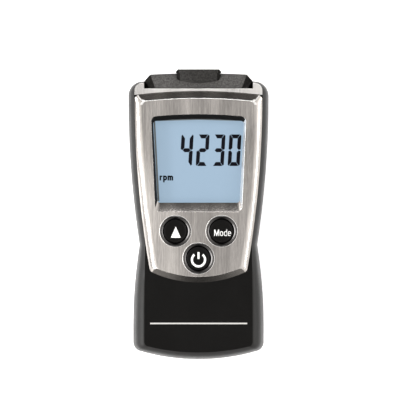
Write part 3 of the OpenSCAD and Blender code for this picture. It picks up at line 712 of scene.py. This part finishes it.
# %% Keys and rings
CAP_R, STEM_R, CAP_EDGE, CAP_BROW, DISH_EDGE, DISH = 3.8, 1.6, 0.10, 0.30, 0.62, 0.12
FLANGE_R, FLANGE_LOW, FLANGE_HIGH = 4.6, 19.95, 20.95
CAP_ROUND, RING_ROUND = 0.12, 0.10
RING_IN = 3.95
RING_BROW = [(0, 0.30), (0.10, 0.06), (0.30, 0)]  # in from the outside and down from the top
RING_THROAT = [(0.22, 0.31), (0.04, 0.80)]  # out from the hole and down from the top
BEAD_R, BEAD_OUT, BEAD_RISE = 0.11, 0.05, 0.04
cap_foot, cap_top = (corner.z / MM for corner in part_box("key_power"))
ring_low, ring_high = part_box("key_ring_power")
ring_foot, ring_top = ring_low.z / MM, ring_high.z / MM
ring_out = (ring_high.x - ring_low.x) / 2 / MM
cap_profile = rounded([
    (0, cap_foot), (STEM_R, cap_foot), (STEM_R, FLANGE_LOW), (FLANGE_R, FLANGE_LOW),
    (FLANGE_R, FLANGE_HIGH), (CAP_R, FLANGE_HIGH), (CAP_R, cap_top - CAP_EDGE),
    (CAP_R - CAP_BROW, cap_top), (CAP_R - DISH_EDGE, cap_top - DISH), (0, cap_top - DISH)], CAP_ROUND)
ring_profile = rounded(
    [(RING_IN, ring_foot), (ring_out, ring_foot)]
    + [(ring_out - inwards, ring_top - down) for inwards, down in RING_BROW]
    + [(RING_IN + outwards, ring_top - down) for outwards, down in RING_THROAT]
    + [(RING_IN, ring_foot)], RING_ROUND)
bead_mid, bead_z = ring_out + BEAD_OUT, plate_z / MM + BEAD_RISE
bead_profile = [(bead_mid + BEAD_R * math.cos(math.radians(a)),
                 bead_z + BEAD_R * math.sin(math.radians(a))) for a in range(0, 361, 45)]
for which in KEYS:
    centre = centre_of("key_" + which)
    cap = finished(turned(cap_profile, centre), "cap_" + which, which + "_key", "key_black",
                   key_plastic)
    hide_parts("key_" + which)
    ring = finished(turned(ring_profile, centre), "ring_" + which, "housing", "ring_chrome",
                    ring_chrome)
    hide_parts("key_ring_" + which)
    # The bead's very light metal is a painted highlight along the edge of the hole.
    finished(turned(bead_profile, centre), "bead_" + which, "housing", "ring_chrome", highlight_bead_metal)
print("keys and rings turned; cap top at", round(cap_top, 2), "mm")

# %% [markdown]
# ## Signs on the keys
# The signs are white print: a triangle, the word for the mode key and the usual power sign. Each
# is a very thin plate that lies in the dish of its cap and rides with it. A sign is made of flat
# outlines and of arcs, which are short edges spun about a centre, so the letters are drawn with
# the same few strokes as the power sign: bars, half rings and one cornered outline for the M.

# %% Thin printed shapes
PRINT_THICK = 0.03
PRINT_LIFT = 0.005
ARC_STEP = 7.5


def plates(outlines, z, thickness=PRINT_THICK, arcs=()):
    """Flat outlines of (x, y) corners and arcs, in mm, given a thickness upwards from z."""
    bm = bmesh.new()
    for outline in outlines:
        bm.faces.new([bm.verts.new((x * MM, y * MM, z * MM)) for x, y in outline])
    for x, y, outer, stroke, start, sweep in arcs:
        turn = math.radians(start)
        ends = [bm.verts.new(((x + r * math.cos(turn)) * MM, (y + r * math.sin(turn)) * MM, z * MM))
                for r in (outer - stroke, outer)]
        edge = bm.edges.new(ends)
        bmesh.ops.spin(bm, geom=ends + [edge], cent=(x * MM, y * MM, z * MM), axis=(0, 0, 1),
                       angle=math.radians(sweep), steps=round(sweep / ARC_STEP))
    for face in bm.faces:
        face.normal_update()
        if face.normal.z < 0:
            face.normal_flip()
    raised = bmesh.ops.extrude_face_region(bm, geom=list(bm.faces), use_keep_orig=True)
    top = [v for v in raised["geom"] if isinstance(v, bmesh.types.BMVert)]
    bmesh.ops.translate(bm, verts=top, vec=(0, 0, thickness * MM))
    bmesh.ops.recalc_face_normals(bm, faces=bm.faces)
    return bm


def bar(left, foot, right, head):
    return [(left, foot), (right, foot), (right, head), (left, head)]


print("print is", PRINT_THICK, "mm thick, and an arc has a point each", ARC_STEP, "degrees")

# %% Letters
def letter_o(width, height, stroke):
    """A letter is its width, its outlines and its arcs."""
    r = width / 2
    return (width, [bar(0, r, stroke, height - r), bar(width - stroke, r, width, height - r)],
            [(r, r, r, stroke, 180, 180), (r, height - r, r, stroke, 0, 180)])


def letter_stemmed(width, height, stroke, stem):
    """A d or a p: the loop of an o with a longer stem, given as its bar."""
    width, sides, bends = letter_o(width, height, stroke)
    return width, sides + [stem], bends


def letter_e(width, height, stroke, cross_share=0.8, foot_sweep=150):
    r, middle, cross = width / 2, height / 2, stroke * cross_share
    sides = [bar(0, r, stroke, height - r), bar(width - stroke, middle, width, height - r),
             bar(stroke, middle - cross / 2, width, middle + cross / 2)]
    return width, sides, [(r, r, r, stroke, 180, foot_sweep), (r, height - r, r, stroke, 0, 180)]


def letter_r(width, height, stroke, hook_from=45, hook_share=0.62):
    r = width * hook_share
    return (width, [bar(0, 0, stroke, height)],
            [(r, height - r, r, stroke, hook_from, 180 - hook_from)])


def letter_m(width, height, stroke):
    r = (width + stroke) / 4
    stems = [bar(x, 0, x + stroke, height - r) for x in (0, (width - stroke) / 2, width - stroke)]
    bends = [(x, height - r, r, stroke, 0, 180) for x in (r, width - r)]
    return width, stems + [bar(0, height - r, stroke, height)], bends


def letter_capital_m(width, height, stroke, tip_share=0.45, slant_share=1.4, notch_share=0.34,
                     shoulder_share=0.70):
    middle, tip, slant = width / 2, stroke * tip_share, stroke * slant_share
    notch, shoulder = height * notch_share, height * shoulder_share
    left = [(middle - tip, 0), (stroke, shoulder), (stroke, 0), (0, 0), (0, height), (slant, height)]
    right = [(width - x, y) for x, y in reversed(left)]
    return width, [left + [(middle, notch)] + right], []


def word(letters, x, y, gap):
    """Sets letters side by side from a place on: all their outlines and arcs."""
    outlines, arcs = [], []
    for width, shapes, bends in letters:
        outlines += [[(x + px, y + py) for px, py in shape] for shape in shapes]
        arcs += [(x + px, y + py, *rest) for px, py, *rest in bends]
        x += width + gap
    return outlines, arcs


print("letters drawn: M o d e r p m")

# %% Signs
SIGN_SINK = 0.005
sign_z = cap_top - (DISH + SIGN_SINK)

TRIANGLE_X, TRIANGLE_HALF, TRIANGLE_FOOT, TRIANGLE_TIP = 0.12, 1.62, 2.15, 1.52
up = centre_of("key_up") / MM
triangle = [(up.x + TRIANGLE_X + x, up.y + y) for x, y in (
    (-TRIANGLE_HALF, -TRIANGLE_FOOT), (TRIANGLE_HALF, -TRIANGLE_FOOT), (0, TRIANGLE_TIP))]
finished(plates([triangle], sign_z), "sign_up", "up_key", "key_black", white_ink)

POWER_R, POWER_STROKE, POWER_GAP, POWER_DROP = 2.50, 0.70, 78, 0.45
BAR_HALF, BAR_FOOT = 0.33, 0.28
power = centre_of("key_power") / MM
power_y = power.y - POWER_DROP
power_bar = bar(power.x - BAR_HALF, power_y + BAR_FOOT, power.x + BAR_HALF, power_y + POWER_R)
power_arc = (power.x, power_y, POWER_R, POWER_STROKE, 90 + POWER_GAP / 2, 360 - POWER_GAP)
finished(plates([power_bar], sign_z, arcs=[power_arc]), "sign_power", "power_key", "key_black",
         white_ink)

CAPITAL, SMALL, STROKE, GAP = 2.10, 1.55, 0.22, 0.24
CAPITAL_W, O_WIDTH, D_WIDTH = 1.62, 1.06, 1.04
MODE_LEFT, MODE_FOOT = 2.42, 1.58
mode = centre_of("key_mode") / MM
mode_letters = [
    letter_capital_m(CAPITAL_W, CAPITAL, STROKE), letter_o(O_WIDTH, SMALL, STROKE),
    letter_stemmed(D_WIDTH, SMALL, STROKE, bar(D_WIDTH - STROKE, 0, D_WIDTH, CAPITAL)),
    letter_e(D_WIDTH, SMALL, STROKE)]
outlines, arcs = word(mode_letters, mode.x - MODE_LEFT, mode.y - MODE_FOOT, GAP)
finished(plates(outlines, sign_z, arcs=arcs), "sign_mode", "mode_key", "key_black", white_ink)
print("signs printed at", round(sign_z, 3), "mm")

# %% [markdown]
# ## The reading on the display
# The display shows four seven-segment digits that lean a little to the right, with a hair of
# space between the segments, and the unit at the lower left. A digit is a set of the seven
# plates, sheared by its lean, lying on the display glass under the window.

# %% Seven-segment digits
glass_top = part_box("lcd_glass")[1].z / MM
HALF_WIDTH, HALF_HEIGHT, LEAN = 1.98, 5.15, math.tan(math.radians(3.4))
SIDE_T, FLAT_T, HAIR, CUT, WAIST, NIP = 1.20, 1.28, 0.07, 0.42, 0.35, 0.02
w, h, s, t, g = HALF_WIDTH, HALF_HEIGHT, SIDE_T, FLAT_T, HAIR
top_bar = [(-w + CUT + g, h), (w - CUT - g, h), (w - s - g, h - t), (-w + s + g, h - t)]
upper_side = [(w, h - CUT), (w, WAIST), (w - s / 2, g), (w - s, t / 2 + g), (w - s, h - t - NIP),
              (w - CUT + g, h - g)]
middle_bar = [(-w + s / 2 + g, 0), (-w + s + g, t / 2), (w - s - g, t / 2), (w - s / 2 - g, 0),
              (w - s - g, -t / 2), (-w + s + g, -t / 2)]


def flipped(outline, fx, fy):
    return [(x * fx, y * fy) for x, y in outline]


segments = {
    "a": top_bar, "d": flipped(top_bar, 1, -1), "g": middle_bar,
    "b": upper_side, "c": flipped(upper_side, 1, -1),
    "f": flipped(upper_side, -1, 1), "e": flipped(upper_side, -1, -1)}
lit = {"0": "abcdef", "2": "abged", "3": "abgcd", "4": "fgbc"}
READING_RIGHT_TO_LEFT = "0324"
DIGIT_X, DIGIT_Y, DIGIT_PITCH = 11.80, 21.05, 5.22
reading = []
for place, digit in enumerate(READING_RIGHT_TO_LEFT):
    for segment in lit[digit]:
        reading.append([(DIGIT_X - place * DIGIT_PITCH + x + LEAN * y, DIGIT_Y + y)
                        for x, y in segments[segment]])
display_z = glass_top + PRINT_LIFT
finished(plates(reading, display_z), "reading", "housing", "display_glass", digit_ink)
print("digits:", len(reading), "segments")

# %% The unit
UNIT_H, UNIT_STROKE, UNIT_TAIL, UNIT_GAP = 1.60, 0.50, 0.62, 0.17
R_WIDTH, P_WIDTH, M_WIDTH = 1.00, 1.28, 1.82
UNIT_X, UNIT_Y = -12.75, 11.15
unit_letters = [
    letter_r(R_WIDTH, UNIT_H, UNIT_STROKE),
    letter_stemmed(P_WIDTH, UNIT_H, UNIT_STROKE, bar(0, -UNIT_TAIL, UNIT_STROKE, UNIT_H)),
    letter_m(M_WIDTH, UNIT_H, UNIT_STROKE)]
outlines, arcs = word(unit_letters, UNIT_X, UNIT_Y, UNIT_GAP)
finished(plates(outlines, display_z, arcs=arcs), "unit_rpm", "housing", "display_glass", digit_ink)
print("unit:", len(outlines), "outlines and", len(arcs), "arcs")

# %% [markdown]
# ## The painted shadow on the display
# A grey strip on the display glass is a painted shadow, where the left wall of the recess shades
# the display. It shows at the left and as a hair at the top, and is a thin print on the glass,
# drawn as one outline that follows the window's sides.

# %% Painted shadow on the display
# The strip is painted shadow: grey where the recess's left wall shades the display.
SHADOW_WIDTH = 0.67
SHADOW_FOOT_X, SHADOW_FOOT_Y = 13.45, 4.4
SHADOW_HEAD_X, SHADOW_HEAD_Y = 14.85, 33.4
SHADOW_INNER_Y, SHADOW_CROWN_Y = 30.6, 31.0
shadow_outline = [(-SHADOW_FOOT_X, SHADOW_FOOT_Y), (-SHADOW_HEAD_X, SHADOW_HEAD_Y), (SHADOW_HEAD_X, SHADOW_HEAD_Y),
       (SHADOW_HEAD_X, SHADOW_INNER_Y), (0, SHADOW_CROWN_Y), (-SHADOW_HEAD_X + SHADOW_WIDTH, SHADOW_INNER_Y),
       (-SHADOW_FOOT_X + SHADOW_WIDTH, SHADOW_FOOT_Y)]
finished(plates([shadow_outline], display_z), "display_shadow", "housing", "display_glass", shadow_ink)
print("rim drawn,", SHADOW_WIDTH, "mm wide at the left")

# %% [markdown]
# ## The printed line
# One thin pale line is printed across the lower front. It lies on the flat deck below the
# faceplate, as a strip with square ends.

# %% The line on the lower front
LINE_LEFT, LINE_RIGHT, LINE_Y, LINE_HALF, LINE_THICK = -15.8, 15.9, -35.6, 0.235, 0.02
deck_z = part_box("front_shell")[1].z / MM
line = bar(LINE_LEFT, LINE_Y - LINE_HALF, LINE_RIGHT, LINE_Y + LINE_HALF)
finished(plates([line], deck_z, LINE_THICK), "printed_line", "housing", "front_plastic", line_ink)
print("line printed at", round(deck_z, 2), "mm")

# %% [markdown]
# ## The arrow on the battery cover
# A cover like this has an arrow beside its grip, which shows the way it slides. It stands a little
# proud of the cover: a flat outline just below the cover's face, with a thickness that reaches
# into the cover.

# %% Arrow on the cover
ARROW_RISE, ARROW_ROOT, ARROW_FROM_END = 0.08, 0.05, 18.5
HEAD_HALF, SHAFT_HALF, ARROW_REACH, NECK_Y = 3.0, 1.2, 3.2, 0.2
cover_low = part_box("battery_cover")[0]
cover_z = cover_low.z / MM
arrow_y = cover_low.y / MM + ARROW_FROM_END
arrow = [(0, -ARROW_REACH), (HEAD_HALF, NECK_Y), (SHAFT_HALF, NECK_Y), (SHAFT_HALF, ARROW_REACH),
         (-SHAFT_HALF, ARROW_REACH), (-SHAFT_HALF, NECK_Y), (-HEAD_HALF, NECK_Y)]
finished(plates([[(x, y + arrow_y) for x, y in arrow]], cover_z - ARROW_RISE,
                ARROW_RISE + ARROW_ROOT), "cover_arrow", "cover", "rear_plastic", rear_plastic)
print("the cover's face is at", round(cover_z, 3), "mm")

# %% [markdown]
# ## Floor
# The meter lies on a pale table that glows a little, so it stays white right round the meter. The
# table is clear from below, by a mix of two shaders, so that the back can be looked at.

# %% Floor
FLOOR_HALF, FLOOR_DROP = 4.0, 0.0002


def pale_floor():
    bm = bmesh.new()
    bmesh.ops.create_grid(bm, x_segments=1, y_segments=1, size=FLOOR_HALF)
    bmesh.ops.translate(bm, verts=bm.verts, vec=(0, 0, -FLOOR_DROP))
    mesh = bpy.data.meshes.new("floor")
    bm.to_mesh(mesh)
    bm.free()
    floor = bpy.data.objects.new("floor", mesh)
    bpy.context.scene.collection.objects.link(floor)
    f = new_finish("floor_white")
    f.set(Base_Color=f.mix(f.noise(60.0), grey(0.86), grey(0.90)), Roughness=0.7,
          Emission_Color=grey(1.0), Emission_Strength=0.55)
    from_below = f.node("NewGeometry", {}, {}, out=6)
    f.choose(from_below, f.tree.nodes.new("ShaderNodeBsdfTransparent"))
    mesh.materials.append(f.owner)
    floor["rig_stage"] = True


pale_floor()
print("floor laid", FLOOR_DROP / MM, "mm below the meter")

# %% [markdown]
# ## Light
# Bright metal shows what stands round it, so the light is drawn for the faceplate. A soft dome is
# bright from both sides, mid grey from straight above, and dark towards the head and the foot,
# which draws the dark slopes and the bright side bevels. The camera sees a plain backdrop in its
# place. Four soft boxes add the sharper lights: the two at the sides run along the bevels, and
# the two at the ends lift the ridges.

# %% Dome of light
DOME_DARK, DOME_HORIZON, DOME_SLANTING, DOME_ZENITH = 0.02, 0.75, 3.4, 0.60
RIGHT_EXTRA, LEFT_EXTRA, BACKDROP = 0.2, 1.2, 0.95
scene = bpy.context.scene
world = scene.world or bpy.data.worlds.new("dome")
scene.world = world
dome = Finish(world, "Background", "OutputWorld")
way = dome.node("TexCoord", {}, {}, out=0)
x, y, z = (dome.node("SeparateXYZ", {}, {"Vector": way}, out=i) for i in range(3))
up_share = z * (z > 0)
across = x * x
at_horizon = (x > 0) * RIGHT_EXTRA + DOME_HORIZON
slanting = (x < 0) * LEFT_EXTRA + DOME_SLANTING
strength = (DOME_DARK + across * (at_horizon + slanting * (1 - across))
            + DOME_ZENITH * (up_share * up_share * up_share))
dome.feed(dome.shader, {"Color": (1.0, 0.985, 0.965, 1.0), "Strength": strength})
backdrop = dome.tree.nodes.new("ShaderNodeBackground")
backdrop.inputs["Strength"].default_value = BACKDROP
seen_by_camera = dome.node("LightPath", {}, {}, out=0)
dome.choose(seen_by_camera, backdrop)
print("dome lit")

# %% Soft boxes
def softbox(name, place, size, power, aim=(0, 0, 0.015)):
    light = bpy.data.lights.new(name, "AREA")
    light.shape, light.size, light.size_y, light.energy = "RECTANGLE", *size, power
    lamp = bpy.data.objects.new(name, light)
    lamp.location = place
    lamp.rotation_euler = (Vector(aim) - Vector(place)).to_track_quat("-Z", "Y").to_euler()
    lamp.visible_camera = False
    scene.collection.objects.link(lamp)


SOFT_BOXES = {  # place and size in metres, power in watts
    "right_box": ((0.58, 0.04, 0.40), (0.60, 0.06), 0.8),
    "left_box": ((-0.60, 0.02, 0.41), (0.90, 0.15), 4.2),
    "head_box": ((0.0, 0.38, 0.60), (0.24, 0.08), 0.60),
    "foot_box": ((0.0, -0.36, 0.62), (0.24, 0.10), 0.25),
}
for name, (place, size, power) in SOFT_BOXES.items():
    softbox(name, place, size, power)
print("soft boxes:", ", ".join(SOFT_BOXES))

# %% [markdown]
# ## Camera
# The camera looks straight down through a long lens, so the view is nearly without perspective.
# Its place follows from the scale of the picture and from where the meter's middle lies in it.

# %% Camera
SCALE_MM = 0.327
FRAME_PX = 400
MIDDLE_X_PX, MIDDLE_Y_PX = 198.5, 214.55
LENS, SENSOR = 600.0, 36.0
FACE_HEIGHT = 0.022
view_mm = SCALE_MM * FRAME_PX
centre = Vector(((FRAME_PX / 2 - MIDDLE_X_PX) * SCALE_MM, (MIDDLE_Y_PX - FRAME_PX / 2) * SCALE_MM, 0))
camera_data = bpy.data.cameras.new("camera")
camera_data.lens, camera_data.sensor_width = LENS, SENSOR
camera_data.clip_start, camera_data.clip_end = 0.05, 20.0
camera = bpy.data.objects.new("camera", camera_data)
camera.location = centre * MM + Vector((0, 0, FACE_HEIGHT + view_mm * MM * LENS / SENSOR))
scene.collection.objects.link(camera)
scene.camera = camera
scene.view_settings.view_transform = "Standard"
print("camera", round(camera.location.z, 3), "m above the table")

# %% Sizes
visual_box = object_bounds()
sizes = {"cad": [list(corner) for corner in cad_box],
         "visual": [list(corner) for corner in visual_box]}
for name, (low, high) in sizes.items():
    print(name, [round((b - a) / MM, 2) for a, b in zip(low, high)])
